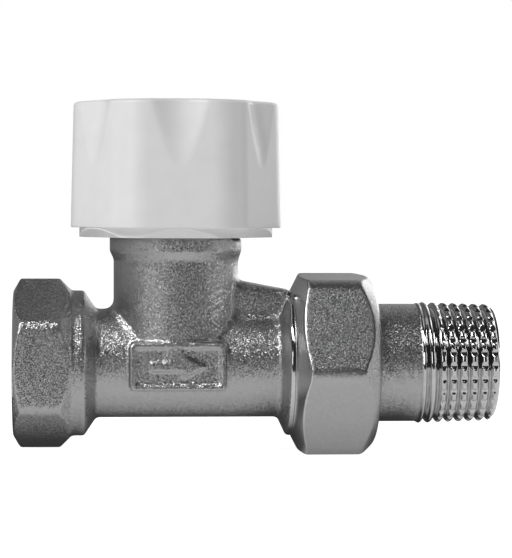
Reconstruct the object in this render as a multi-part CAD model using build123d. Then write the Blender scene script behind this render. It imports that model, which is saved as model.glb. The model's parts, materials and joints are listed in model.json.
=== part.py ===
from build123d import *
import os
from math import cos, radians, sin, sqrt, tan

# Straight radiator valve with a hand cap, in millimetres.
# The flow runs along +X from the mouth of the inlet socket at the origin, and the stem points along +Z.

# Overall layout
overall_length = 83.6
stem_x = 28.1

# Fits shared by the pieces
thread_clearance = 0.1
slide_clearance = 0.1
seat_clearance = 0.05
nut_gap = 0.05
cap_step_gap = 0.4

# Inlet end
inlet_hex_flats = 26.0
inlet_hex_round = 2.2
inlet_face_radius = 12.5
inlet_hex_chamfer_slope = 1.75
inlet_hex_length = 10.1
bead_radius = 12.6
bead_length = 2.1
bead_round = 0.5
bead_cone_length = 2.1
socket_radius = 9.32
socket_depth = 11.5

# Tube and passages
tube_radius = 9.44
tube_round = 0.9
bore_radius = 7.25
inlet_bore_depth = 6.0
low_passage_radius = 3.4
low_passage_step = 0.3
high_passage_radius = 3.0
high_passage_z = 4.0
outlet_bore_start = 39.0

# Seat and chamber
seat_port_radius = 4.5
seat_lip_width = 1.2
seat_z = 2.2
chamber_floor_z = 0.8
chamber_radius = 8.0
chamber_top_z = 10.0

# Neck
neck_radius = 10.82
neck_fillet = 1.6
neck_top_z = 22.0
neck_bore_radius = 8.7
collar_radius = 11.5
collar_height = 2.5
collar_cone_height = 1.44

# Side plates and flow arrow
plate_width = 16.3
plate_height = 8.2
plate_face_y = 10.95
plate_corner = 0.9
plate_border = 0.85
plate_recess = 0.45
arrow_length = 9.0
arrow_height = 3.6
arrow_head_length = 3.6
arrow_shaft_height = 1.4

# Rib between neck and outlet
rib_half_width = 5.0
rib_top_at_neck = 14.43
rib_top_at_outlet = 12.7
rib_round = 0.9

# Outlet flange and spigot
flange_x = 47.95
flange_radius = 12.65
flange_rim = 0.65
flange_cone_length = 1.5
spigot_length = 9.2
spigot_radius = 11.5
spigot_chamfer = 0.6
relief_width = 1.3
relief_depth = 0.6
nose_bore_radius = 8.6
nose_bore_depth = 3.2

# Union nut
nut_flats = 30.3
nut_round = 3.3
nut_turn = 3.2
nut_length = 14.9
nut_face_radius = 12.4
nut_chamfer_slope = 1.95
nut_shoulder_thickness = 3.1
nut_hole_radius = 10.65
nut_end_radius = 14.0
nut_end_dome = 0.35
nut_end_round = 2.75

# Tailpiece
tail_radius = 10.3
tail_collar_radius = 11.2
tail_bore_radius = 7.0
tail_nose_radius = 8.5
tail_nose_length = 2.7
tail_thread_radius = 10.48
tail_thread_pitch = 1.814
tail_thread_depth = 1.16
tail_thread_length = 13.4
tail_thread_land = 0.36
tail_end_chamfer = 0.8
key_lug_width = 2.6
key_lug_height = 1.3
key_lug_length = 5.0
tail_ring_section = 0.62
tail_ring_groove = 1.5

# Bonnet
bonnet_seal_thickness = 0.5
bonnet_seal_radius = 11.3
bonnet_skirt_bottom = 11.5
bonnet_guide_height = 3.0
bonnet_thread_radius = 14.5
bonnet_thread_height = 8.0
bonnet_boss_radius = 8.6
bonnet_boss_height = 1.0
spring_chamber_radius = 5.5
gland_bore_radius = 6.2
gland_shelf_z = 26.0

# Gland
gland_seal_thickness = 0.6
gland_seal_bore = 1.9
gland_nut_flats = 13.0
gland_nut_height = 2.5
gland_pocket_radius = 3.0
gland_bush_height = 1.35
pin_ring_section = 0.7

# Stem and what it carries
travel = 2.5
stem_radius = 2.0
stem_top_z = 25.5
pin_radius = 1.5
pin_top_z = 37.5
pin_round = 0.3
plate_thickness = 1.2
spring_plate_radius = 5.1
clip_thickness = 0.8
clip_radius = 3.4
clip_depth = 0.5
clip_opening = 2.0
spring_wire = 0.5
spring_coil_radius = 4.3
spring_turns = 4.5
disc_thickness = 2.2
disc_radius = 6.35
disc_recess = 1.0
holder_radius = 7.0
holder_web = 1.0
holder_boss_radius = 3.3
holder_boss_height = 2.4
screw_radius = 1.2
screw_head_radius = 2.3
screw_head_height = 1.0
screw_length = 6.6
screw_slot = 0.6
screw_slot_depth = 0.5

# Cap
cap_turn = 0.0
cap_bottom_z = 23.56
cap_height = 21.65
cap_wall = 1.15
cap_corner_round = 7.5
cap_draft = 1.3
cap_crown = 0.4
cap_top_round = 0.7
cap_top_wall = 2.2
cap_shoulder = 2.0
cap_boss_radius = 2.8
scoop_count = 6
scoop_length = 11.6
scoop_half_width = 4.7
scoop_depth = 1.5
scoop_tip_radius = 0.8
ring_lip = 1.15
ring_drop = 1.66
ring_facet_angle = 44.0
ring_facet_drop = 1.45
sleeve_wall = 1.0
sleeve_height = 6.4

# Values that follow from the sizes above
tail_end_x = overall_length
spigot_end_x = flange_x + spigot_length
nut_start_x = flange_x + nut_gap
nut_end_x = nut_start_x + nut_length
nut_shoulder_x = nut_end_x - nut_shoulder_thickness
nut_thread_radius = spigot_radius + thread_clearance
low_passage_z = low_passage_radius + low_passage_step - bore_radius
seat_lip_radius = seat_port_radius + seat_lip_width
bonnet_flange_z = neck_top_z + bonnet_seal_thickness
bonnet_skirt_radius = neck_bore_radius - thread_clearance
bonnet_thread_top = bonnet_flange_z + bonnet_thread_height
bonnet_top_z = bonnet_thread_top + bonnet_boss_height
guide_top_z = bonnet_skirt_bottom + bonnet_guide_height
gland_nut_bottom = gland_shelf_z + gland_seal_thickness
pin_hole_radius = pin_radius + slide_clearance
bush_bottom_z = gland_nut_bottom + seat_clearance
bush_top_z = bush_bottom_z + gland_bush_height
pocket_top_z = bush_top_z + 2 * pin_ring_section + 2 * seat_clearance
disc_bottom_z = seat_z + travel + seat_clearance
disc_top_z = disc_bottom_z + disc_thickness
web_top_z = disc_top_z + holder_web
clip_top_z = stem_top_z - clip_thickness
clip_bottom_z = clip_top_z - clip_thickness
plate_bottom_z = clip_bottom_z - plate_thickness
cap_top_z = cap_bottom_z + cap_height
ring_bottom_z = cap_bottom_z - ring_drop
sleeve_top_z = cap_bottom_z + sleeve_height
ring_bore_radius = bonnet_thread_radius + thread_clearance
sleeve_radius = ring_bore_radius + sleeve_wall
ring_radius = sleeve_radius + ring_lip
cap_flats = 2 * (sleeve_radius + seat_clearance + cap_wall)
cap_cavity_radius = ring_bore_radius - cap_shoulder
cap_boss_z = pin_top_z + seat_clearance
cap_ceiling_z = cap_top_z - cap_top_wall
cap_step_z = bonnet_top_z + travel + cap_step_gap

flow_plane = Plane(origin=(0, 0, 0), x_dir=(0, 1, 0), z_dir=(1, 0, 0))


def corner_radius(flats):
    """Distance from the centre of a hexagon to its sharp corners."""
    return flats / sqrt(3)


def turned_on_flow(*outline):
    """Solid turned about the flow axis from (x, radius) corners."""
    return revolve(make_face(Polyline(*outline, close=True)), Axis.X)


def turned_on_stem(*outline):
    """Solid turned about the stem axis from (radius, z) corners."""
    return Pos(stem_x, 0, 0) * revolve(Plane.XZ * make_face(Polyline(*outline, close=True)), Axis.Z)


def flow_rod(radius, start, end, z=0.0):
    """Round bar along X between two places."""
    return Pos(start, 0, z) * extrude(flow_plane * Circle(radius), end - start)


def stem_rod(radius, bottom, top):
    """Round bar on the stem axis between two heights."""
    return Pos(stem_x, 0, bottom) * extrude(Circle(radius), top - bottom)


def stem_tube(inner, outer, bottom, top):
    """Round ring on the stem axis between two heights."""
    return stem_rod(outer, bottom, top) - stem_rod(inner, bottom, top)


def hexagon(flats, rounding, turn):
    """Hexagon with rounded corners, its first corner at the given turn."""
    reach = corner_radius(flats)
    angles = [radians(turn + 60 * step) for step in range(6)]
    outline = make_face(Polyline(*[(reach * cos(a), reach * sin(a)) for a in angles], close=True))
    return fillet(outline.vertices(), rounding)


def stem_o_ring(section, centre_radius, z):
    return Pos(stem_x, 0, z) * Torus(centre_radius, section)


def inlet_hexagon():
    """Inlet hexagon with a turned chamfer on both ends."""
    prism = extrude(flow_plane * hexagon(inlet_hex_flats, inlet_hex_round, 30), inlet_hex_length)
    reach = corner_radius(inlet_hex_flats)
    chamfer_length = (reach - inlet_face_radius) / inlet_hex_chamfer_slope
    envelope = turned_on_flow(
        (0, 0),
        (0, inlet_face_radius),
        (chamfer_length, reach),
        (inlet_hex_length - (reach - bead_radius), reach),
        (inlet_hex_length, bead_radius),
        (inlet_hex_length, 0),
    )
    return prism & envelope


def body_tube():
    """Bead, tube and outlet flange as one turned form."""
    bead_end = inlet_hex_length + bead_length
    cone_end = bead_end + bead_cone_length
    flange_start = flange_x - flange_rim
    inside = inlet_hex_length - bead_length
    outline = FilletPolyline(
        (inside, bead_radius),
        (bead_end, bead_radius),
        (cone_end, tube_radius),
        (flange_start - flange_cone_length, tube_radius),
        (flange_start, flange_radius),
        (flange_x, flange_radius),
        radius=[bead_round, tube_round, tube_round, flange_rim / 2],
    )
    closing = Polyline((flange_x, flange_radius), (flange_x, 0), (inside, 0), (inside, bead_radius))
    return revolve(make_face([outline, closing]), Axis.X)


def half_space(sign):
    """Block that holds everything above the flow axis, or everything below it."""
    return Pos(stem_x, 0, sign * neck_top_z / 2) * Box(overall_length, overall_length, neck_top_z)


def tube_with_neck():
    """Tube and neck with the forged fillet between them, the neck ending behind the side plates."""
    tube = body_tube()
    crossing = tube + stem_rod(neck_radius, -neck_top_z, neck_top_z)
    plain_edges = (GeomType.CIRCLE, GeomType.LINE)
    creases = crossing.edges().filter_by(lambda edge: edge.geom_type not in plain_edges)
    crossing = fillet(creases, neck_fillet)
    return (crossing & half_space(1)) + (tube & half_space(-1))


def neck_collar():
    collar_bottom = neck_top_z - collar_height
    return turned_on_stem(
        (0, collar_bottom - collar_cone_height),
        (neck_radius, collar_bottom - collar_cone_height),
        (collar_radius, collar_bottom),
        (collar_radius, neck_top_z),
        (0, neck_top_z),
    )


def flow_arrow():
    """Arrow outline that points along the flow."""
    tip = arrow_length / 2
    neck_end = tip - arrow_head_length
    half_head = arrow_height / 2
    half_shaft = arrow_shaft_height / 2
    return make_face(
        Polyline(
            (-tip, -half_shaft),
            (neck_end, -half_shaft),
            (neck_end, -half_head),
            (tip, 0),
            (neck_end, half_head),
            (neck_end, half_shaft),
            (-tip, half_shaft),
            close=True,
        )
    )


def side_plate():
    """Raised plate on the front, with a sunk field and a plain flow arrow."""
    face = Plane.XZ.offset(plate_face_y)
    floor = Plane.XZ.offset(plate_face_y - plate_recess)
    block = extrude(face * RectangleRounded(plate_width, plate_height, plate_corner), -plate_face_y)
    field = extrude(
        floor
        * RectangleRounded(
            plate_width - 2 * plate_border,
            plate_height - 2 * plate_border,
            plate_corner / 2,
        ),
        plate_recess,
    )
    arrow = extrude(floor * flow_arrow(), plate_recess)
    return Pos(stem_x, 0, 0) * (block - field + arrow)


def outlet_rib():
    """Rib on top of the tube, between neck and flange."""
    start = stem_x + neck_radius / 2
    neck_front = stem_x + neck_radius
    slope = (rib_top_at_neck - rib_top_at_outlet) / (flange_x - neck_front)
    outline = make_face(
        Polyline(
            (start, 0),
            (flange_x, 0),
            (flange_x, rib_top_at_outlet),
            (start, rib_top_at_neck + slope * (neck_front - start)),
            close=True,
        )
    )
    rib = extrude(Plane.XZ * outline, rib_half_width, both=True)
    top_edges = rib.faces().sort_by(Axis.Z)[-1].edges()
    long_edges = top_edges.filter_by(lambda edge: abs(edge.tangent_at(0).X) > 0.5)
    return fillet(long_edges, rib_round)


def outlet_spigot():
    relief_end = flange_x + relief_width
    relief_radius = spigot_radius - relief_depth
    return turned_on_flow(
        (flange_x - flange_rim, 0),
        (flange_x - flange_rim, relief_radius),
        (relief_end, relief_radius),
        (relief_end + relief_depth, spigot_radius),
        (spigot_end_x - spigot_chamfer, spigot_radius),
        (spigot_end_x, spigot_radius - spigot_chamfer),
        (spigot_end_x, 0),
    )


def body_passages():
    """Everything that is hollow inside the body."""
    socket = flow_rod(socket_radius, 0, socket_depth)
    inlet_end = socket_depth + inlet_bore_depth
    inlet = flow_rod(bore_radius, socket_depth, inlet_end)
    low = flow_rod(low_passage_radius, inlet_end - low_passage_radius, stem_x, low_passage_z)
    port = stem_rod(seat_port_radius, low_passage_z, chamber_top_z)
    chamber = stem_rod(chamber_radius, chamber_floor_z, chamber_top_z)
    seat = stem_tube(seat_port_radius, seat_lip_radius, chamber_floor_z, seat_z)
    neck_bore = stem_rod(neck_bore_radius, chamber_top_z, neck_top_z)
    high = flow_rod(high_passage_radius, stem_x + seat_lip_radius, outlet_bore_start, high_passage_z)
    outlet = flow_rod(bore_radius, outlet_bore_start, spigot_end_x)
    nose_bore = flow_rod(nose_bore_radius, spigot_end_x - nose_bore_depth, spigot_end_x)
    return socket + inlet + low + port + (chamber - seat) + neck_bore + high + outlet + nose_bore


def make_valve_body():
    plate = side_plate()
    back_plate = mirror(plate, Plane.XZ)
    outside = tube_with_neck() + inlet_hexagon() + neck_collar() + plate + back_plate
    outside = outside + outlet_rib() + outlet_spigot()
    return outside - body_passages()


def make_union_nut():
    """Union nut with a turned entry chamfer and a domed back."""
    prism = extrude(flow_plane * hexagon(nut_flats, nut_round, nut_turn), nut_length)
    prism = Pos(nut_start_x, 0, 0) * prism
    reach = corner_radius(nut_flats)
    chamfer_end = nut_start_x + (reach - nut_face_radius) / nut_chamfer_slope
    dome_x = nut_end_x - nut_end_dome
    back_outline = FilletPolyline(
        (dome_x - (reach - nut_end_radius), reach),
        (dome_x, nut_end_radius),
        (nut_end_x, nut_hole_radius),
        radius=nut_end_round,
    )
    front_outline = Polyline(
        (nut_end_x, nut_hole_radius),
        (nut_end_x, 0),
        (nut_start_x, 0),
        (nut_start_x, nut_face_radius),
        (chamfer_end, reach),
        (dome_x - (reach - nut_end_radius), reach),
    )
    envelope = revolve(make_face([back_outline, front_outline]), Axis.X)
    thread_hole = flow_rod(nut_thread_radius, nut_start_x, nut_shoulder_x)
    tail_hole = flow_rod(nut_hole_radius, nut_shoulder_x, nut_end_x)
    return (prism & envelope) - thread_hole - tail_hole


def tail_thread_groove(crest_x):
    """Groove between one thread crest and the next."""
    half_land = tail_thread_land / 2
    root_start = crest_x + tail_thread_pitch / 2 - half_land
    root_end = crest_x + tail_thread_pitch / 2 + half_land
    root = tail_thread_radius - tail_thread_depth
    outside = tail_thread_radius + tail_thread_depth
    return turned_on_flow(
        (crest_x + half_land, tail_thread_radius),
        (root_start, root),
        (root_end, root),
        (crest_x + tail_thread_pitch - half_land, tail_thread_radius),
        (crest_x + tail_thread_pitch - half_land, outside),
        (crest_x + half_land, outside),
    )


def make_tailpiece():
    """Union tail with its nose, collar, tapered-end thread and key lugs."""
    nose_start = spigot_end_x + seat_clearance - tail_nose_length
    collar_start = spigot_end_x + seat_clearance
    collar_end = nut_shoulder_x - seat_clearance
    thread_start = tail_end_x - tail_thread_length
    outside = turned_on_flow(
        (nose_start, 0),
        (nose_start, tail_nose_radius),
        (collar_start, tail_nose_radius),
        (collar_start, tail_collar_radius),
        (collar_end, tail_collar_radius),
        (collar_end, tail_radius),
        (thread_start, tail_radius),
        (thread_start, tail_thread_radius),
        (tail_end_x - tail_end_chamfer, tail_thread_radius),
        (tail_end_x, tail_thread_radius - tail_end_chamfer),
        (tail_end_x, 0),
    )
    groove_count = int((tail_thread_length - tail_end_chamfer) / tail_thread_pitch)
    for step in range(groove_count):
        outside -= tail_thread_groove(thread_start + step * tail_thread_pitch - tail_thread_land)
    groove_middle = nose_start + tail_nose_length / 2
    groove_depth = 2 * tail_ring_section
    groove_start = groove_middle - tail_ring_groove / 2
    groove_end = groove_middle + tail_ring_groove / 2
    ring_seat = flow_rod(tail_nose_radius, groove_start, groove_end)
    ring_seat -= flow_rod(nose_bore_radius - groove_depth - seat_clearance, groove_start, groove_end)
    bore = flow_rod(tail_bore_radius, nose_start, tail_end_x)
    lug_end = thread_start + key_lug_length
    lug_bar = Pos(thread_start + key_lug_length / 2, 0, 0)
    lug_bar *= Box(key_lug_length, key_lug_width, 2 * tail_radius)
    lug_bar -= flow_rod(tail_bore_radius - key_lug_height, thread_start, lug_end)
    lugs = lug_bar & flow_rod(tail_bore_radius + seat_clearance, thread_start, lug_end)
    return outside - ring_seat - bore + lugs


def make_tail_o_ring():
    middle = spigot_end_x + seat_clearance - tail_nose_length / 2
    centre_radius = nose_bore_radius - tail_ring_section - seat_clearance / 2
    return Pos(middle, 0, 0) * (Rot(0, 90, 0) * Torus(centre_radius, tail_ring_section))


def make_bonnet():
    outside = turned_on_stem(
        (0, bonnet_skirt_bottom),
        (bonnet_skirt_radius, bonnet_skirt_bottom),
        (bonnet_skirt_radius, bonnet_flange_z),
        (bonnet_thread_radius, bonnet_flange_z),
        (bonnet_thread_radius, bonnet_thread_top),
        (bonnet_boss_radius, bonnet_thread_top),
        (bonnet_boss_radius, bonnet_top_z),
        (0, bonnet_top_z),
    )
    guide = stem_rod(stem_radius + slide_clearance, bonnet_skirt_bottom, guide_top_z)
    chamber = stem_rod(spring_chamber_radius, guide_top_z, gland_shelf_z)
    gland_bore = stem_rod(gland_bore_radius, gland_shelf_z, bonnet_top_z)
    return outside - guide - chamber - gland_bore


def make_bonnet_seal():
    return stem_tube(neck_bore_radius, bonnet_seal_radius, neck_top_z, bonnet_flange_z)


def make_gland_nut():
    shank = stem_rod(gland_bore_radius - thread_clearance, gland_nut_bottom, bonnet_top_z)
    head = extrude(hexagon(gland_nut_flats, seat_clearance, 0), gland_nut_height)
    head = Pos(stem_x, 0, bonnet_top_z) * head
    pocket = stem_rod(gland_pocket_radius, gland_nut_bottom, pocket_top_z)
    hole = stem_rod(pin_hole_radius, pocket_top_z, bonnet_top_z + gland_nut_height)
    return shank + head - pocket - hole


def make_gland_seal():
    return stem_tube(gland_seal_bore, gland_bore_radius - thread_clearance, gland_shelf_z, gland_nut_bottom)


def make_gland_bush():
    return stem_tube(pin_hole_radius, gland_pocket_radius - seat_clearance, bush_bottom_z, bush_top_z)


def make_pin_seal():
    centre_radius = gland_pocket_radius - seat_clearance / 2 - pin_ring_section
    return stem_o_ring(pin_ring_section, centre_radius, bush_top_z + seat_clearance + pin_ring_section)


def make_pressure_pin():
    pin = stem_rod(pin_radius, stem_top_z, pin_top_z)
    return fillet(pin.edges().filter_by(GeomType.CIRCLE).sort_by(Axis.Z)[-1], pin_round)


def make_stem():
    stem = stem_rod(stem_radius, web_top_z, stem_top_z)
    clip_groove = stem_tube(stem_radius - clip_depth, stem_radius, clip_bottom_z, clip_top_z)
    screw_hole = stem_rod(screw_radius + seat_clearance, web_top_z, disc_bottom_z + screw_length)
    return stem - clip_groove - screw_hole


def make_spring_plate():
    return stem_tube(stem_radius + seat_clearance, spring_plate_radius, plate_bottom_z, clip_bottom_z)


def make_retaining_clip():
    inner = stem_radius - clip_depth + seat_clearance
    clip = stem_tube(inner, clip_radius, clip_bottom_z, clip_top_z)
    opening = Pos(stem_x + clip_radius / 2, 0, clip_bottom_z + clip_thickness / 2)
    return clip - opening * Box(clip_radius, clip_opening, clip_thickness)


def make_return_spring():
    """Wire spring between the guide and the plate."""
    height = plate_bottom_z - guide_top_z - 2 * spring_wire
    path = Helix(height / spring_turns, height, spring_coil_radius)
    start = Plane(origin=path @ 0, z_dir=path % 0)
    wire = sweep(start * Circle(spring_wire), path=path, is_frenet=True)
    return Pos(stem_x, 0, guide_top_z + spring_wire) * wire


def make_disc_holder():
    boss_top = web_top_z + holder_boss_height
    rim_bottom = disc_top_z - disc_recess
    cup = stem_rod(holder_radius, rim_bottom, web_top_z)
    boss = stem_rod(holder_boss_radius, web_top_z, boss_top)
    recess = stem_rod(disc_radius + seat_clearance, rim_bottom, disc_top_z)
    screw_hole = stem_rod(screw_radius + seat_clearance, disc_top_z, web_top_z)
    stem_hole = stem_rod(stem_radius + seat_clearance, web_top_z, boss_top)
    return cup + boss - recess - screw_hole - stem_hole


def make_seal_disc():
    return stem_tube(screw_radius + seat_clearance, disc_radius, disc_bottom_z, disc_top_z)


def make_disc_screw():
    head_bottom = disc_bottom_z - screw_head_height
    shank = stem_rod(screw_radius, disc_bottom_z, disc_bottom_z + screw_length)
    head = stem_rod(screw_head_radius, head_bottom, disc_bottom_z)
    slot = Pos(stem_x, 0, head_bottom + screw_slot_depth / 2)
    return shank + head - slot * Box(2 * screw_head_radius, screw_slot, screw_slot_depth)


def cap_half_flats(z):
    """Distance from the stem axis to the cap's flats at one height."""
    return cap_flats / 2 - (z - cap_bottom_z) * tan(radians(cap_draft))


def scoop(turn):
    """Cutter for one finger scoop: a slanted cone that opens towards the top."""
    tip_z = cap_top_z - scoop_length
    top_radius = (scoop_depth**2 + scoop_half_width**2) / (2 * scoop_depth)
    top_centre = cap_half_flats(cap_top_z) - scoop_depth + top_radius
    tip_centre = cap_half_flats(tip_z) + scoop_tip_radius
    reach = 1 + 2 * cap_crown / scoop_length
    end_radius = scoop_tip_radius + reach * (top_radius - scoop_tip_radius)
    end_centre = tip_centre + reach * (top_centre - tip_centre)
    tip = Pos(tip_centre, 0, tip_z) * Circle(scoop_tip_radius)
    end = Pos(end_centre, 0, tip_z + reach * scoop_length) * Circle(end_radius)
    return Pos(stem_x, 0, 0) * (Rot(0, 0, turn) * loft([tip, end], ruled=True))


def cap_block():
    """Solid block of the cap: a drafted hexagon with round corners and a crowned top."""
    outline = hexagon(cap_flats, cap_corner_round, cap_turn)
    prism = extrude(outline, cap_height + 2 * cap_crown, taper=cap_draft)
    prism = Pos(stem_x, 0, cap_bottom_z) * prism
    crown_reach = cap_half_flats(cap_top_z)
    crown_radius = (crown_reach**2 + cap_crown**2) / (2 * cap_crown)
    crown = Pos(stem_x, 0, cap_top_z + cap_crown - crown_radius) * Sphere(crown_radius)
    block = prism & crown
    return fillet(block.faces().sort_by(Axis.Z)[-1].edges(), cap_top_round)


def make_cap_shell():
    """White cap with finger scoops, open below, with a boss that meets the pin."""
    outside = cap_block()
    for step in range(scoop_count):
        outside -= scoop(cap_turn - 90 + step * 360 / scoop_count)
    sleeve_bore = stem_rod(sleeve_radius + seat_clearance, cap_bottom_z, sleeve_top_z)
    thread_space = stem_rod(ring_bore_radius, sleeve_top_z, cap_step_z)
    cavity = stem_rod(cap_cavity_radius, cap_step_z, cap_ceiling_z)
    boss = stem_rod(cap_boss_radius, cap_boss_z, cap_ceiling_z)
    return outside - sleeve_bore - thread_space - (cavity - boss)


def make_cap_ring():
    """Threaded sleeve of the cap, with six slanted facets on the flange below the shell."""
    flange = stem_rod(ring_radius, ring_bottom_z, cap_bottom_z)
    lower_flats = 2 * (ring_radius - ring_facet_drop)
    facets = extrude(hexagon(lower_flats, seat_clearance, cap_turn), ring_drop, taper=-ring_facet_angle)
    flange = flange & (Pos(stem_x, 0, ring_bottom_z) * facets)
    sleeve = stem_rod(sleeve_radius, cap_bottom_z, sleeve_top_z)
    return flange + sleeve - stem_rod(ring_bore_radius, ring_bottom_z, sleeve_top_z)


pieces = {
    "valve_body": make_valve_body,
    "bonnet": make_bonnet,
    "bonnet_seal": make_bonnet_seal,
    "gland_nut": make_gland_nut,
    "gland_seal": make_gland_seal,
    "gland_bush": make_gland_bush,
    "pin_seal": make_pin_seal,
    "pressure_pin": make_pressure_pin,
    "stem": make_stem,
    "spring_plate": make_spring_plate,
    "retaining_clip": make_retaining_clip,
    "return_spring": make_return_spring,
    "disc_holder": make_disc_holder,
    "seal_disc": make_seal_disc,
    "disc_screw": make_disc_screw,
    "cap_shell": make_cap_shell,
    "cap_ring": make_cap_ring,
    "union_nut": make_union_nut,
    "tailpiece": make_tailpiece,
    "tail_o_ring": make_tail_o_ring,
}

os.makedirs("parts", exist_ok=True)
for name, make in pieces.items():
    export_step(make(), f"parts/{name}.step")
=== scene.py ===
import json
from math import cos, pi, radians, sin, tan

import bpy
import numpy as np
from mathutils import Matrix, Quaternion, Vector


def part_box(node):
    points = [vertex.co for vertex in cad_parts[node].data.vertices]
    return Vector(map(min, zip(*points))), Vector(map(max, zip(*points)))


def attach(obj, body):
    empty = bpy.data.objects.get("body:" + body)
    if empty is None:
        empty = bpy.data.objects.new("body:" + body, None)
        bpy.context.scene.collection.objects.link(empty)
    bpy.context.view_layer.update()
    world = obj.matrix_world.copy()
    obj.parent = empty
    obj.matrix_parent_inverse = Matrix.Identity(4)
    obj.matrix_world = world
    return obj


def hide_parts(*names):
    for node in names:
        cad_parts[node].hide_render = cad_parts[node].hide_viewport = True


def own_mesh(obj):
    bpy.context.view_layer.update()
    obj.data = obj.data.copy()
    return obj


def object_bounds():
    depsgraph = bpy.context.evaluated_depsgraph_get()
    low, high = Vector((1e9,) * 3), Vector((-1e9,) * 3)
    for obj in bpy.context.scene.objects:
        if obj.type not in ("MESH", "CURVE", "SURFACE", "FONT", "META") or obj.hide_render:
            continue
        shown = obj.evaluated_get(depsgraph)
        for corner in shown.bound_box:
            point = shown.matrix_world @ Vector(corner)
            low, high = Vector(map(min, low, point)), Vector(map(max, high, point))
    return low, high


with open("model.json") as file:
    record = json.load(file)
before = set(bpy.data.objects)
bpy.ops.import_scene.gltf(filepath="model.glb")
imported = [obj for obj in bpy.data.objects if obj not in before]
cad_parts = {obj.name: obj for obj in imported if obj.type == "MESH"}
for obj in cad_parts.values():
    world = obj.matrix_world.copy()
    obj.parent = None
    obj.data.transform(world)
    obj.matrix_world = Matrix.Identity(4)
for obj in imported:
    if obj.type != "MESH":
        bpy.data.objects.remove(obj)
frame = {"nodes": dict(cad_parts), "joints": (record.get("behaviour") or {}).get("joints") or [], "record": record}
cad_low, cad_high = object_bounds()

# Lengths are in metres, and MM turns millimetres into them.
MM = 0.001

# Camera
camera_place = Vector((11.1, -401.0, 27.5)) * MM
camera_target = Vector((42.1, 0.0, 14.6)) * MM
camera_roll = radians(0.2)
camera_sensor = 36.0
camera_near = 0.01
camera_far = 20.0
photo_height = 558
photo_pixel = 0.1745 * MM

# Softened castings
body_voxel = 0.26 * MM
nut_voxel = 0.22 * MM
smoothing_factor = 0.5
body_smoothing = 5
nut_smoothing = 4
most_triangles = 180000

# Rib, inlet bead and neck collar, which are softened further
rib_start_x = 36.4 * MM
rib_end_x = 46.2 * MM
rib_foot_z = 6.0 * MM
rib_reach = 6.8 * MM
rib_smoothing = 60
bead_start_x = 9.0 * MM
bead_end_x = 16.0 * MM
bead_smoothing = 24
collar_low = 17.2 * MM
collar_high = 20.4 * MM
collar_wall_radius = 10.2 * MM

# Turned rim of the outlet and the nut's edge beside it
rim_radius = 12.65 * MM
rim_edge_x = 47.55 * MM
rim_edge_width = 0.5 * MM
rim_edge_least = 12.0 * MM
rim_middle_x = 47.62 * MM
rim_half_width = 0.33 * MM
nut_edge_width = 0.16 * MM

# Turned ends of the body
socket_pitch = 1.814 * MM
socket_thread_depth = 0.9 * MM
socket_thread_sharpness = 0.95
socket_thread_reach = 0.2 * MM
bore_end_x = 12.0 * MM
bore_wall_radius = 10.8 * MM
end_face_x = 0.2 * MM
spigot_start_x = 48.1 * MM

# Cap
cap_columns = 540
cap_top_start = 0.04
cap_top_rows = 16
cap_rim_rows = 9
cap_scoop_rows = 64
cap_side_rows = 12
cap_foot_rows = 5
cap_flats = 6
cap_draft = radians(1.3)
cap_corner_round = 7.5 * MM
cap_crown = 0.4 * MM
cap_rim_round = 0.75 * MM
cap_foot_round = 0.2 * MM
scoop_length = 11.6 * MM
scoop_half_width = 4.7 * MM
scoop_depth = 1.5 * MM
scoop_edge = 0.45 * MM
scoop_edge_fade = 0.6
scoop_fade = 1.25
scoop_taper = 0.62
scoop_least_share = 0.00001
scoop_most_share = 1.1
sleeve_bore_radius = 15.65 * MM
cap_thread_radius = 14.6 * MM
cap_cavity_radius = 12.6 * MM
cap_boss_radius = 2.8 * MM
cap_boss_middle_radius = 0.7 * MM
cap_top_wall = 2.2 * MM

# Tailpiece
tail_columns = 308
tail_plain_rows = 14
tail_thread_rows = 150
tail_bore_rows = 60
tail_radius = 10.3 * MM
tail_collar_radius = 11.2 * MM
tail_collar_gap = 0.05 * MM
tail_nose_radius = 8.5 * MM
tail_nose_length = 2.7 * MM
tail_bore_radius = 7.0 * MM
tail_bore_chamfer = 0.4 * MM
ring_groove_width = 1.5 * MM
ring_groove_radius = 7.31 * MM
nut_shoulder_x = 59.8 * MM
nut_wall = 1.0 * MM
lug_width = 2.6 * MM
lug_height = 1.3 * MM
lug_length = 5.0 * MM
lug_side_round = 0.1 * MM
lug_end_round = 0.3 * MM

# Thread of the tailpiece
thread_start_x = 70.2 * MM
thread_plain_gap = 0.4 * MM
thread_lead_before = 0.3 * MM
thread_lead_after = 0.5 * MM
thread_pitch = 1.814 * MM
thread_depth = 1.16 * MM
thread_crest_x = 71.4 * MM
thread_gauge_x = 74.84 * MM
thread_gauge_radius = 10.48 * MM
thread_taper = 1 / 32
thread_runout = 1.1 * MM
thread_end_chamfer = 0.8 * MM
crest_flatness = 0.76
notch_count = 28
notch_depth = 0.4 * MM
notch_edge = -0.2
notch_middle = 1.0
notch_start_x = 73.1 * MM
notch_runout = 1.0 * MM

# Noise and ramps, with scales in lumps per metre
noise_low = 0.3
noise_high = 0.7
fine_detail = 2.0
rich_detail = 3.0

# Colour sockets of a mix node
mix_first = 6
mix_second = 7
mix_result = 2

# Blasted nickel
grain_scale = 8000
grain_tilt = 0.5
nut_grain_scale = 9500
nut_grain_tilt = 0.36
blasted_patch_scale = 1500
blasted_roughness = 0.31
blasted_dark = 0.43
blasted_light = 0.46
# Greys of the turned zones, lighter than the blasted ones: turned finish on the outlet rim, and on the nut's
# inlet-facing chamfer also a painted highlight on the side that faces the light
turned_and_highlight_dark = 0.60
turned_and_highlight_light = 0.64
rim_roughness = 0.08
chamfer_roughness = 0.24
# Normal along X over which the nut's inlet-facing side turns smooth and lighter; the lighter grey there is partly
# a painted highlight
chamfer_start = -0.35
chamfer_full = -0.5
cell_middle = (0.5, 0.5, 0.5)

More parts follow.
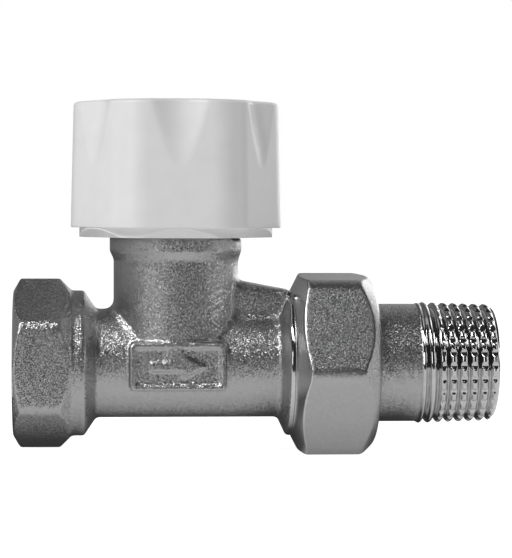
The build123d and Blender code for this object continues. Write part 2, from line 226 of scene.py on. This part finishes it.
# Bright nickel
bright_patch_scale = 700
bright_dark = 0.56
bright_light = 0.64
bright_least_roughness = 0.05
bright_most_roughness = 0.09
bright_relief_scale = 2500
bright_relief = 0.004 * MM

# Turned metals
metal_patch_scale = 600
metal_roughness_spread = 0.12
metal_relief_scale = 3000
metal_relief = 0.02 * MM
brass_dark = (0.60, 0.42, 0.16)
brass_light = (0.74, 0.55, 0.24)
brass_roughness = 0.22
steel_dark = (0.50, 0.50, 0.51)
steel_light = (0.62, 0.62, 0.63)
steel_roughness = 0.2

# Moulded plastics and rubber
moulded_patch_scale = 300
moulded_roughness_spread = 0.08
moulded_relief_scale = 1500
rubber_dark = (0.012, 0.012, 0.012)
rubber_light = (0.025, 0.025, 0.025)
rubber_roughness = 0.5
rubber_relief = 0.05 * MM
guide_dark = (0.70, 0.69, 0.64)
guide_light = (0.78, 0.77, 0.73)
guide_roughness = 0.35
guide_relief = 0.02 * MM
white_dark = (0.90, 0.90, 0.90)
white_light = (0.93, 0.93, 0.93)
white_roughness = 0.34
white_relief = 0.004 * MM

# Surroundings: grey levels by elevation in degrees, in front of the object and behind it
front_surroundings = [
    (-90, 0.60), (-60, 0.76), (-30, 0.78), (-14, 0.70), (-10, 0.06), (0, 0.03), (90, 0.03),
]
back_surroundings = [
    (-90, 0.50), (-69, 0.32), (-43, 0.18), (-10, 0.30), (2, 0.82), (12, 0.72), (30, 0.56), (55, 0.46),
    (66, 0.40), (72, 0.03), (90, 0.03),
]
front_edge_y = -0.25
back_edge_y = 0.35

# Share of the back's light towards the sides: start and end along X, share at the start and at the end
left_share = (-0.8, -0.3, 0.5, 0.24)
right_share = (0.0, 0.18, 0.24, 1.0)
far_right_share = (0.55, 0.9, 1.0, 0.55)

# Floor, and its glow by the distance along Y in millimetres, with a painted contact shadow where it is dark near
# the object
floor_size = 6.0
floor_grey = 0.5
floor_glow = 0.95
floor_roughness = 0.9
bounce_front = -90 * MM
bounce_back = 400 * MM
bounce_half_width = 500 * MM
bounce_levels = [
    (-90, 0.74), (-25, 0.76), (-15, 0.66), (-9, 0.48), (-6, 0.30), (-3, 0.06), (5, 0.03), (60, 0.12),
]

# Shift of the glow along Y with the distance along X from the stem, which moves the painted contact shadow: start,
# end, shift at each, in millimetres
bounce_shifts = [(11, 19, 6, 0), (41, 45, 0, 8), (56, 72, 0, 52)]

# Lamps: name, azimuth and elevation in degrees, width and height in metres, radiance
lamp_distance = 0.9
power_per_radiance = 4
lamps = [
    ("key_softbox", -50, 46, 0.50, 0.24, 9.0),
    ("front_strip", -12, 41, 0.60, 0.17, 1.1),
    ("left_softbox", -44, 8, 0.20, 0.30, 2.8),
    ("side_softbox", 147, 14, 0.30, 0.55, 1.5),
    ("side_glow", 129, 10, 0.28, 0.50, 0.6),
    ("right_softbox", 108, 42, 0.28, 0.28, 1.85),
    ("right_strip", 84, 4, 0.12, 0.45, 2.6),
]

stem_x = next(joint["pos_m"][0] for joint in frame["joints"] if joint["name"] == "cap_turn")


# Curves


def smooth_step(value, low, high):
    """Rises smoothly from 0 at low to 1 at high."""
    share = np.clip((value - low) / (high - low), 0, 1)
    return share * share * (3 - 2 * share)


def smooth_least(first, second, width):
    """The smaller of two values, with the crease between them rounded over the given width."""
    gap = np.clip(0.5 + 0.5 * (second - first) / width, 0, 1)
    return second * (1 - gap) + first * gap - width * gap * (1 - gap)


# Meshes


def add_object(name, data):
    piece = bpy.data.objects.new(name, data)
    bpy.context.scene.collection.objects.link(piece)
    return piece


def add_mesh(name, vertices, faces):
    mesh = bpy.data.meshes.new(name)
    mesh.from_pydata([tuple(vertex) for vertex in vertices], [], faces)
    mesh.validate()
    piece = add_object(name, mesh)
    mesh.shade_smooth()
    return piece


def ring_faces(row_count, columns, looped):
    """Quads between neighbouring rings of a turned grid, also from the last ring to the first if looped."""
    faces = []
    for row in range(row_count if looped else row_count - 1):
        here = row * columns
        above = (row + 1) % row_count * columns
        for column in range(columns):
            beside = (column + 1) % columns
            faces.append((here + column, here + beside, above + beside, above + column))
    return faces


def mesh_points(mesh):
    """Points of a mesh as rows of x, y and z."""
    points = np.zeros(len(mesh.vertices) * 3)
    mesh.vertices.foreach_get("co", points)
    return points.reshape(-1, 3)


def set_points(mesh, points):
    mesh.vertices.foreach_set("co", points.ravel())
    mesh.update()


def shaped_mesh(piece):
    """A new mesh with the form that the piece's modifiers give it."""
    depsgraph = bpy.context.evaluated_depsgraph_get()
    return bpy.data.meshes.new_from_object(piece.evaluated_get(depsgraph))


def add_smoothing(piece, rounds):
    smooth = piece.modifiers.new("smooth", "SMOOTH")
    smooth.factor = smoothing_factor
    smooth.iterations = rounds
    return smooth


def keep_inside(mesh, low, high):
    """Moves the points that lie outside a box onto its sides."""
    set_points(mesh, np.clip(mesh_points(mesh), low, high))


def weld_and_soften(node, voxel, rounds):
    """A copy of a node with its edges rounded as on a forged and blasted piece."""
    mesh = frame["nodes"][node].data.copy()
    mesh.materials.clear()
    source = add_object(node + "_source", mesh)
    remesh = source.modifiers.new("remesh", "REMESH")
    remesh.mode = "VOXEL"
    remesh.voxel_size = voxel
    add_smoothing(source, rounds)
    soft = shaped_mesh(source)
    bpy.data.objects.remove(source)
    keep_inside(soft, *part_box(node))
    return add_object(node + "_finished", soft)


def soften_zone(piece, chosen, rounds):
    """Smooths the chosen points of a piece further."""
    zone = piece.vertex_groups.new(name="soft")
    zone.add([int(index) for index in np.flatnonzero(chosen)], 1.0, "REPLACE")
    add_smoothing(piece, rounds).vertex_group = "soft"
    soft = shaped_mesh(piece)
    piece.modifiers.clear()
    piece.vertex_groups.clear()
    piece.data = soft


def thin_out(piece):
    """Collapses edges until the piece is under the limit of triangles."""
    triangles = sum(len(face.vertices) - 2 for face in piece.data.polygons)
    if triangles > most_triangles:
        decimate = piece.modifiers.new("decimate", "DECIMATE")
        decimate.ratio = most_triangles / triangles
        thin = shaped_mesh(piece)
        piece.modifiers.clear()
        piece.data = thin
    piece.data.shade_smooth()


def fill_edge(mesh, start, end, least, radius):
    """Moves the points of a soft round edge out to the full radius."""
    points = mesh_points(mesh)
    x, y, z = points.T
    from_axis = np.hypot(y, z)
    chosen = (x > start) & (x < end) & (from_axis > least) & (from_axis < radius)
    points[chosen, 1:] *= radius / from_axis[chosen, None]
    set_points(mesh, points)


# Body and nut


def thread_wave(phase):
    """Height of a round-crested thread, 1 on its crests and 0 in its roots."""
    wave = np.arcsin(socket_thread_sharpness * np.cos(2 * pi * phase))
    return 0.5 + 0.5 * wave / np.arcsin(socket_thread_sharpness)


def cut_thread(mesh, start, end, radius):
    """Moves the points of a round wall along its radius to form a right-hand thread about the flow axis."""
    points = mesh_points(mesh)
    x, y, z = points.T
    from_axis = np.hypot(y, z)
    turn = np.arctan2(-y, z) / (2 * pi)
    fade_in = smooth_step(x, start, start + socket_pitch)
    fade_out = 1 - smooth_step(x, end - socket_pitch, end)
    near = (np.abs(from_axis - radius) < socket_thread_reach) * fade_in * fade_out
    change = near * socket_thread_depth * thread_wave(x / socket_pitch - turn)
    stretch = (from_axis + change) / np.maximum(from_axis, socket_thread_reach)
    points[:, 1] *= stretch
    points[:, 2] *= stretch
    set_points(mesh, points)


def make_valve_body():
    piece = weld_and_soften("valve_body", body_voxel, body_smoothing)
    x, y, z = mesh_points(piece.data).T
    on_rib = (x > rib_start_x) & (x < rib_end_x) & (z > rib_foot_z) & (np.abs(y) < rib_reach)
    on_bead = (x > bead_start_x) & (x < bead_end_x) & (np.hypot(y, z) > bore_wall_radius)
    on_collar = (z > collar_low) & (z < collar_high) & (np.hypot(x - stem_x, y) > collar_wall_radius)
    soften_zone(piece, on_rib, rib_smoothing)
    soften_zone(piece, on_bead | on_collar, bead_smoothing)
    fill_edge(piece.data, rim_edge_x, rim_edge_x + rim_edge_width, rim_edge_least, rim_radius)
    socket = next(mount for mount in frame["record"]["mounts"] if mount["name"] == "inlet_socket")
    socket_radius = socket["dims"]["r_mm"] * MM
    socket_length = socket["dims"]["length_mm"] * MM
    cut_thread(piece.data, 0.0, socket_length, socket_radius)
    thin_out(piece)
    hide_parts("valve_body")
    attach(piece, "valve")
    return piece


def make_union_nut():
    piece = weld_and_soften("union_nut", nut_voxel, nut_smoothing)
    face_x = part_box("union_nut")[0].x
    fill_edge(piece.data, face_x - nut_edge_width, face_x + nut_edge_width, rim_edge_least, rim_radius)
    thin_out(piece)
    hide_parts("union_nut")
    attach(piece, "nut")
    return piece


# Cap


def cap_radius(turn, z, foot_z, top_z, half_flats):
    """Radius of the cap's side: a drafted hexagon with round corners and a scoop in each flat."""
    sector = 2 * pi / cap_flats
    lean = (turn + pi / 2 + sector / 2) % sector - sector / 2
    shrink = (z - foot_z) * tan(cap_draft)
    flat = half_flats - shrink
    round_radius = cap_corner_round - shrink
    middle = flat - round_radius
    on_flat = flat / np.cos(lean)
    along = middle * np.cos(lean) + middle * tan(sector / 2) * np.sin(np.abs(lean))
    square = (middle / cos(sector / 2)) ** 2
    on_corner = along + np.sqrt(np.maximum(along**2 - square + round_radius**2, 0))
    side = np.where(flat * np.tan(np.abs(lean)) <= middle * tan(sector / 2), on_flat, on_corner)
    share = (z - (top_z - scoop_length)) / scoop_length
    share = np.clip(share, scoop_least_share, scoop_most_share)
    across = flat * np.tan(lean) / (scoop_half_width * share**scoop_taper)
    dip = scoop_depth * share**scoop_fade * (1 - across**2)
    return smooth_least(side, side - dip, scoop_edge * share**scoop_edge_fade)


def make_cap_shell():
    """White cap with six finger scoops, as rings from the middle of its top to the boss inside."""
    low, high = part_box("cap_shell")
    foot_z = low.z
    top_z = high.z - cap_crown
    rim_z = top_z - cap_rim_round
    scoop_foot = top_z - scoop_length
    half_flats = (high.y - low.y) / 2
    turns = np.linspace(0, 2 * pi, cap_columns, endpoint=False)

    def side_radius(z):
        return cap_radius(turns, z, foot_z, top_z, half_flats)

    def crown_height(radius):
        return top_z + cap_crown * (1 - (radius / half_flats) ** 2)

    rings = []
    rim_reach = side_radius(rim_z) - cap_rim_round
    for share in np.linspace(cap_top_start, 1.0, cap_top_rows):
        rings.append((rim_reach * share, crown_height(rim_reach * share)))
    rim_drop = crown_height(rim_reach) - rim_z
    for angle in np.linspace(pi / 2, 0, cap_rim_rows)[1:]:
        rings.append((rim_reach + cap_rim_round * cos(angle), rim_z + rim_drop * sin(angle)))
    for z in np.linspace(rim_z, scoop_foot, cap_scoop_rows)[1:]:
        rings.append((side_radius(z), z))
    for z in np.linspace(scoop_foot, foot_z + cap_foot_round, cap_side_rows)[1:]:
        rings.append((side_radius(z), z))
    foot_side = side_radius(foot_z + cap_foot_round)
    for angle in np.linspace(0, pi / 2, cap_foot_rows)[1:]:
        radius = foot_side - cap_foot_round * (1 - cos(angle))
        rings.append((radius, foot_z + cap_foot_round * (1 - sin(angle))))
    sleeve_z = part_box("cap_ring")[1].z
    gland_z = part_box("gland_nut")[1].z
    pin_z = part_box("pressure_pin")[1].z
    ceiling_z = top_z - cap_top_wall
    rings += [
        (sleeve_bore_radius, foot_z),
        (sleeve_bore_radius, sleeve_z),
        (cap_thread_radius, sleeve_z),
        (cap_thread_radius, gland_z),
        (cap_cavity_radius, gland_z),
        (cap_cavity_radius, ceiling_z),
        (cap_boss_radius, ceiling_z),
        (cap_boss_radius, pin_z),
        (cap_boss_middle_radius, pin_z),
    ]
    points = []
    for radius, z in rings:
        x = stem_x + radius * np.cos(turns)
        points.append(np.stack([x, radius * np.sin(turns), z + 0 * turns], 1))
    faces = [tuple(reversed(face)) for face in ring_faces(len(rings), cap_columns, False)]
    faces.append(tuple(range(cap_columns)))
    last = (len(rings) - 1) * cap_columns
    faces.append(tuple(reversed(range(last, last + cap_columns))))
    piece = add_mesh("cap_shell_finished", np.concatenate(points), faces)
    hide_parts("cap_shell")
    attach(piece, "cap")
    return piece


# Tailpiece


def thread_radius(x, turns, end_x):
    """Radius of the tapered right-hand pipe thread with notched crests."""
    crest = thread_gauge_radius + (thread_gauge_x - x) * thread_taper
    phase = (x - thread_crest_x) / thread_pitch - turns / (2 * pi)
    fade = smooth_step(x, thread_start_x, thread_start_x + thread_runout)
    radius = crest - thread_depth * fade * (1 - np.abs(np.cos(pi * phase)) ** crest_flatness)
    notch = smooth_step(np.cos(notch_count * turns), notch_edge, notch_middle)
    notch_fade = smooth_step(x, notch_start_x, notch_start_x + notch_runout)
    radius = np.minimum(radius, crest - notch_depth * notch * notch_fade)
    lead_in = smooth_step(x, thread_start_x - thread_lead_before, thread_start_x + thread_lead_after)
    radius = tail_radius + (radius - tail_radius) * lead_in
    chamfer = crest - np.maximum(0, x - (end_x - thread_end_chamfer))
    return np.minimum(radius, chamfer)


def lug_radius(x, turns):
    """Radius of the bore with its two key lugs."""
    lug_end_x = thread_start_x + lug_length
    edge = np.abs(np.sin(turns)) * tail_bore_radius
    across = 1 - smooth_step(edge, lug_width / 2 - lug_side_round, lug_width / 2 + lug_side_round)
    along = smooth_step(x, thread_start_x - lug_end_round, thread_start_x)
    along = along * (1 - smooth_step(x, lug_end_x, lug_end_x + lug_end_round))
    return tail_bore_radius - lug_height * across * along


def make_tailpiece():
    """Union tail as one loop of rings: nose, collar, plain part, thread, bore with key lugs."""
    low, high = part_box("tailpiece")
    start_x = low.x
    end_x = high.x
    collar_x = start_x + tail_nose_length
    collar_end_x = nut_shoulder_x - tail_collar_gap
    plain_start_x = nut_shoulder_x + nut_wall
    plain_end_x = thread_start_x - thread_plain_gap
    groove_start_x = start_x + (tail_nose_length - ring_groove_width) / 2
    groove_end_x = groove_start_x + ring_groove_width
    turns = np.linspace(0, 2 * pi, tail_columns, endpoint=False)
    rings = [
        (start_x, tail_nose_radius),
        (groove_start_x, tail_nose_radius),
        (groove_start_x, ring_groove_radius),
        (groove_end_x, ring_groove_radius),
        (groove_end_x, tail_nose_radius),
        (collar_x, tail_nose_radius),
        (collar_x, tail_collar_radius),
        (collar_end_x, tail_collar_radius),
        (collar_end_x, tail_radius),
        (plain_start_x, tail_radius),
    ]
    for x in np.linspace(plain_start_x, plain_end_x, tail_plain_rows)[1:]:
        rings.append((x, tail_radius))
    for x in np.linspace(plain_end_x, end_x, tail_thread_rows)[1:]:
        rings.append((x, thread_radius(x, turns, end_x)))
    rings.append((end_x, tail_bore_radius + tail_bore_chamfer))
    for x in np.linspace(end_x - tail_bore_chamfer, start_x, tail_bore_rows):
        rings.append((x, lug_radius(x, turns)))
    points = []
    for x, radius in rings:
        points.append(np.stack([x + 0 * turns, -radius * np.sin(turns), radius * np.cos(turns)], 1))
    faces = ring_faces(len(rings), tail_columns, True)
    piece = add_mesh("tailpiece_finished", np.concatenate(points), faces)
    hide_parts("tailpiece")
    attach(piece, "tail")
    return piece


# Return spring


def make_return_spring():
    """The spring as a piece with its own mesh, carried with the valve."""
    piece = add_object("return_spring_finished", frame["nodes"]["return_spring"].data.copy())
    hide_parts("return_spring")
    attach(piece, "valve")
    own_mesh(piece)


# Shader parts


def add_node(tree, kind, values=None, **settings):
    node = tree.nodes.new(kind)
    for key, value in settings.items():
        setattr(node, key, value)
    for socket, value in (values or {}).items():
        node.inputs[socket].default_value = value
    return node


def coordinates(tree, kind):
    """X, Y and Z of a point's coordinates of the given kind."""
    place = add_node(tree, "ShaderNodeTexCoord")
    return split(tree, place.outputs[kind])


def split(tree, vector):
    parts = add_node(tree, "ShaderNodeSeparateXYZ")
    tree.links.new(vector, parts.inputs["Vector"])
    return parts.outputs


def map_range(tree, source, start, end, low=0.0, high=1.0):
    """Value from low to high as the source goes from start to end."""
    limits = {"From Min": start, "From Max": end, "To Min": low, "To Max": high}
    node = add_node(tree, "ShaderNodeMapRange", limits)
    tree.links.new(source, node.inputs["Value"])
    return node.outputs["Result"]


def calculate(tree, operation, *sources):
    """Result of a sum on one or more sources."""
    node = add_node(tree, "ShaderNodeMath", operation=operation)
    for index, source in enumerate(sources):
        tree.links.new(source, node.inputs[index])
    return node.outputs["Value"]


def scale_vector(tree, vector, factor):
    node = add_node(tree, "ShaderNodeVectorMath", operation="SCALE")
    tree.links.new(vector, node.inputs[0])
    tree.links.new(factor, node.inputs["Scale"])
    return node.outputs["Vector"]


def mix_colours(tree, share, first, second):
    """Colour from the first to the second as the share goes from 0 to 1."""
    node = add_node(tree, "ShaderNodeMix", data_type="RGBA")
    tree.links.new(share, node.inputs["Factor"])
    tree.links.new(first, node.inputs[mix_first])
    tree.links.new(second, node.inputs[mix_second])
    return node.outputs[mix_result]


def colour_ramp(tree, source, stops):
    """Ramp through colours at the given positions from 0 to 1."""
    ramp = add_node(tree, "ShaderNodeValToRGB")
    elements = ramp.color_ramp.elements
    while len(elements) < len(stops):
        elements.new(0.5)
    for element, (position, colour) in zip(elements, stops):
        element.position = position
        element.color = (*colour, 1)
    tree.links.new(source, ramp.inputs["Fac"])
    return ramp.outputs["Color"]


def grey(level):
    return (level, level, level)


def noise(tree, scale, detail):
    """Noise in the piece's own coordinates, with the given number of lumps per metre."""
    place = add_node(tree, "ShaderNodeTexCoord")
    lumps = add_node(tree, "ShaderNodeTexNoise", {"Scale": scale, "Detail": detail})
    tree.links.new(place.outputs["Object"], lumps.inputs["Vector"])
    return lumps.outputs["Fac"]


def spread(tree, source, low, high):
    """Maps the middle of a noise to the range from low to high."""
    return map_range(tree, source, noise_low, noise_high, low, high)


def shades(tree, source, dark, light):
    """Ramp between two colours over the middle of a noise."""
    return colour_ramp(tree, source, [(noise_low, dark), (noise_high, light)])


def bump(tree, height, distance):
    node = add_node(tree, "ShaderNodeBump", {"Distance": distance, "Strength": 1.0})
    tree.links.new(height, node.inputs["Height"])
    return node.outputs["Normal"]


def facets(tree, scale, tilt):
    """Normal of a blasted surface: small facets, each tilted its own way by the amount in a socket."""
    place = add_node(tree, "ShaderNodeTexCoord")
    cells = add_node(tree, "ShaderNodeTexVoronoi", {"Scale": scale})
    tree.links.new(place.outputs["Object"], cells.inputs["Vector"])
    centred = add_node(tree, "ShaderNodeVectorMath", {1: cell_middle}, operation="SUBTRACT")
    tree.links.new(cells.outputs["Color"], centred.inputs[0])
    tilted = scale_vector(tree, centred.outputs["Vector"], tilt)
    surface = add_node(tree, "ShaderNodeNewGeometry")
    summed = add_node(tree, "ShaderNodeVectorMath", operation="ADD")
    tree.links.new(surface.outputs["Normal"], summed.inputs[0])
    tree.links.new(tilted, summed.inputs[1])
    normal = add_node(tree, "ShaderNodeVectorMath", operation="NORMALIZE")
    tree.links.new(summed.outputs["Vector"], normal.inputs[0])
    return normal.outputs["Vector"]


def rim_zone(tree):
    """1 on the turned rim of the outlet flange, 0 elsewhere."""
    zone = add_node(tree, "ShaderNodeMath", {1: rim_middle_x, 2: rim_half_width}, operation="COMPARE")
    tree.links.new(coordinates(tree, "Object")["X"], zone.inputs[0])
    return zone.outputs["Value"]


def chamfer_and_highlight_zone(tree):
    """1 on the turned chamfer that faces the inlet, found by the way its normal points, 0 elsewhere. Its lighter
    grey is partly a painted highlight on the side that faces the light.
    """
    surface = add_node(tree, "ShaderNodeNewGeometry")
    local = add_node(
        tree, "ShaderNodeVectorTransform", vector_type="NORMAL", convert_from="WORLD", convert_to="OBJECT"
    )
    tree.links.new(surface.outputs["Normal"], local.inputs["Vector"])
    return map_range(tree, split(tree, local.outputs["Vector"])["X"], chamfer_start, chamfer_full)


# Materials


def new_material(name):
    """A material with its node tree and the sockets of its shader."""
    material = bpy.data.materials.new(name)
    material.use_nodes = True
    tree = material.node_tree
    return material, tree, tree.nodes["Principled BSDF"].inputs


def blasted_nickel(name, turned_and_highlight_zone, turned_roughness, scale, tilt):
    """Nickel plate over sand-blasted brass, smooth and lighter in its turned zone. Where that zone is the nut's
    inlet-facing chamfer, the lighter grey is partly a painted highlight.
    """
    material, tree, surface = new_material(name)
    surface["Metallic"].default_value = 1.0
    zone = turned_and_highlight_zone(tree)
    patches = noise(tree, blasted_patch_scale, fine_detail)
    blasted = shades(tree, patches, grey(blasted_dark), grey(blasted_light))
    # Lighter grey of the turned zone; on the nut's inlet-facing chamfer it is partly a painted highlight
    turned = shades(tree, patches, grey(turned_and_highlight_dark), grey(turned_and_highlight_light))
    roughness = map_range(tree, zone, 0.0, 1.0, blasted_roughness, turned_roughness)
    normal = facets(tree, scale, map_range(tree, zone, 0.0, 1.0, tilt, 0.0))
    tree.links.new(mix_colours(tree, zone, blasted, turned), surface["Base Color"])
    tree.links.new(roughness, surface["Roughness"])
    tree.links.new(normal, surface["Normal"])
    return material


def dress_surface(tree, surface, patches, colours, roughness, relief):
    """Patchy colour and roughness between two limits each, and a fine relief."""
    tree.links.new(shades(tree, patches, *colours), surface["Base Color"])
    tree.links.new(spread(tree, patches, *roughness), surface["Roughness"])
    tree.links.new(relief, surface["Normal"])


def bright_nickel():
    """Bright nickel plate on the cut thread."""
    material, tree, surface = new_material("nickel_polished")
    surface["Metallic"].default_value = 1.0
    patches = noise(tree, bright_patch_scale, fine_detail)
    colours = (grey(bright_dark), grey(bright_light))
    roughness = (bright_least_roughness, bright_most_roughness)
    relief = bump(tree, noise(tree, bright_relief_scale, fine_detail), bright_relief)
    dress_surface(tree, surface, patches, colours, roughness, relief)
    return material


def turned_metal(name, dark, light, roughness):
    """Lathe-turned metal with fine tool marks."""
    material, tree, surface = new_material(name)
    surface["Metallic"].default_value = 1.0
    patches = noise(tree, metal_patch_scale, rich_detail)
    limits = (roughness, roughness + metal_roughness_spread)
    relief = bump(tree, noise(tree, metal_relief_scale, rich_detail), metal_relief)
    dress_surface(tree, surface, patches, (dark, light), limits, relief)
    return material


def moulded(name, dark, light, roughness, height):
    """Moulded plastic or rubber with a faint surface."""
    material, tree, surface = new_material(name)
    patches = noise(tree, moulded_patch_scale, rich_detail)
    limits = (roughness, roughness + moulded_roughness_spread)
    relief = bump(tree, noise(tree, moulded_relief_scale, fine_detail), height)
    dress_surface(tree, surface, patches, (dark, light), limits, relief)
    return material


def paint_node(node, material):
    for slot in frame["nodes"][node].material_slots:
        slot.material = material


# Stage


def environment_ramp(tree, height, levels):
    """Grey levels of the surroundings by elevation in degrees."""
    stops = [(0.5 + 0.5 * sin(radians(rise)), grey(level)) for rise, level in levels]
    return colour_ramp(tree, height, stops)


def make_world():
    """White to the camera, and a dim studio with a pale backdrop to everything else."""
    world = bpy.data.worlds.new("studio")
    world.use_nodes = True
    bpy.context.scene.world = world
    tree = world.node_tree
    tree.nodes.clear()
    place = coordinates(tree, "Generated")
    height = map_range(tree, place["Z"], -1.0, 1.0)
    depth = map_range(tree, place["Y"], front_edge_y, back_edge_y)
    left = map_range(tree, place["X"], *left_share)
    right = map_range(tree, place["X"], *right_share)
    far_right = map_range(tree, place["X"], *far_right_share)
    side = calculate(tree, "MULTIPLY", calculate(tree, "MAXIMUM", left, right), far_right)
    front = environment_ramp(tree, height, front_surroundings)
    back = scale_vector(tree, environment_ramp(tree, height, back_surroundings), side)
    studio = add_node(tree, "ShaderNodeBackground")
    tree.links.new(mix_colours(tree, depth, front, back), studio.inputs["Color"])
    white = add_node(tree, "ShaderNodeBackground", {"Color": (1, 1, 1, 1)})
    path = add_node(tree, "ShaderNodeLightPath")
    choice = add_node(tree, "ShaderNodeMixShader")
    tree.links.new(path.outputs["Is Camera Ray"], choice.inputs[0])
    tree.links.new(studio.outputs[0], choice.inputs[1])
    tree.links.new(white.outputs[0], choice.inputs[2])
    output = add_node(tree, "ShaderNodeOutputWorld")
    tree.links.new(choice.outputs[0], output.inputs["Surface"])


def add_softbox(name, azimuth, elevation, width, height, radiance):
    """Rectangular lamp aimed at the object. Azimuth 0 is in front, and 90 at the right."""
    lamp = bpy.data.lights.new(name, "AREA")
    lamp.shape = "RECTANGLE"
    lamp.size = width
    lamp.size_y = height
    lamp.energy = power_per_radiance * radiance * width * height
    piece = add_object(name, lamp)
    turn = radians(azimuth)
    rise = radians(elevation)
    towards = Vector((sin(turn) * cos(rise), -cos(turn) * cos(rise), sin(rise)))
    piece.location = (cad_low + cad_high) / 2 + towards * lamp_distance
    piece.rotation_euler = towards.to_track_quat("Z", "Y").to_euler()
    piece.visible_camera = False


def add_sheet(name, half_width, front, back, material):
    """Level sheet under the object."""
    corners = [(-half_width, front, 0), (half_width, front, 0), (half_width, back, 0), (-half_width, back, 0)]
    piece = add_mesh(name, corners, [(0, 1, 2, 3)])
    piece.location = (stem_x, 0, cad_low.z)
    piece.data.materials.append(material)
    return piece


def make_floor():
    """Plain pale floor."""
    material, _, surface = new_material("floor")
    surface["Base Color"].default_value = (*grey(floor_grey), 1)
    surface["Roughness"].default_value = floor_roughness
    surface["Emission Color"].default_value = (1, 1, 1, 1)
    surface["Emission Strength"].default_value = floor_glow
    piece = add_sheet("floor", floor_size / 2, -floor_size / 2, floor_size / 2, material)
    piece.visible_glossy = False
    piece.visible_diffuse = False
    piece.visible_shadow = False


def make_bounce():
    """Glow of the floor as the object sees it: painted bounce light, bright in front of the object, and a painted
    contact shadow, dark below it.
    """
    material, tree, surface = new_material("floor_bounce")
    surface["Base Color"].default_value = (0, 0, 0, 1)
    surface["Specular IOR Level"].default_value = 0.0
    surface["Emission Strength"].default_value = 1.0
    place = coordinates(tree, "Object")
    beside = calculate(tree, "ABSOLUTE", place["X"])
    place_y = place["Y"]
    for limits in bounce_shifts:
        shift = map_range(tree, beside, *[limit * MM for limit in limits])
        place_y = calculate(tree, "SUBTRACT", place_y, shift)
    first = bounce_levels[0][0] * MM
    last = bounce_levels[-1][0] * MM
    share = map_range(tree, place_y, first, last)
    stops = [((y * MM - first) / (last - first), grey(level)) for y, level in bounce_levels]
    tree.links.new(colour_ramp(tree, share, stops), surface["Emission Color"])
    piece = add_sheet("floor_bounce", bounce_half_width, bounce_front, bounce_back, material)
    piece.visible_camera = False
    piece.visible_shadow = False


def make_stage():
    make_world()
    make_bounce()
    make_floor()
    for lamp in lamps:
        add_softbox(*lamp)
    bpy.context.scene.view_settings.view_transform = "Standard"


def make_camera():
    data = bpy.data.cameras.new("camera")
    piece = add_object("camera", data)
    aim = camera_target - camera_place
    piece.location = camera_place
    roll = Quaternion((0, 0, 1), camera_roll)
    piece.rotation_euler = (aim.to_track_quat("-Z", "Y") @ roll).to_euler()
    data.sensor_width = camera_sensor
    data.lens = camera_sensor * aim.length / (photo_height * photo_pixel)
    data.clip_start = camera_near
    data.clip_end = camera_far
    bpy.context.scene.camera = piece


# Pieces with their materials


def dress_body(blasted, bright):
    """Blasted outside, with a bright socket, end face and spigot."""
    body = make_valve_body()
    body.data.materials.append(blasted)
    body.data.materials.append(bright)
    for face in body.data.polygons:
        x, y, z = face.center
        in_bore = x < bore_end_x and np.hypot(y, z) < bore_wall_radius
        face.material_index = 1 if in_bore or x < end_face_x or x > spigot_start_x else 0


def dress_tail(blasted, bright):
    """Blasted plain part and bright thread."""
    tail = make_tailpiece()
    tail.data.materials.append(blasted)
    tail.data.materials.append(bright)
    for face in tail.data.polygons:
        face.material_index = 1 if face.center.x > thread_start_x else 0


def dress():
    blasted = blasted_nickel("nickel_blasted", rim_zone, rim_roughness, grain_scale, grain_tilt)
    # On the nut the inlet-facing chamfer takes the lighter grey, partly a painted highlight on the side that faces
    # the light
    nut_nickel = blasted_nickel("nickel_nut", chamfer_and_highlight_zone, chamfer_roughness, nut_grain_scale, nut_grain_tilt)
    bright = bright_nickel()
    white = moulded("white_plastic", white_dark, white_light, white_roughness, white_relief)
    materials = {
        "nickel_blasted": blasted,
        "nickel_polished": bright,
        "turned_brass": turned_metal("turned_brass", brass_dark, brass_light, brass_roughness),
        "stainless_steel": turned_metal("stainless_steel", steel_dark, steel_light, steel_roughness),
        "seal_rubber": moulded("seal_rubber", rubber_dark, rubber_light, rubber_roughness, rubber_relief),
        "guide_plastic": moulded("guide_plastic", guide_dark, guide_light, guide_roughness, guide_relief),
        "white_plastic": white,
    }
    for subpart in frame["record"]["subparts"]:
        paint_node(subpart["node"], materials[subpart["material_slot"]])
    dress_body(blasted, bright)
    make_union_nut().data.materials.append(nut_nickel)
    make_cap_shell().data.materials.append(white)
    make_return_spring()
    dress_tail(blasted, bright)


make_camera()
make_stage()
dress()
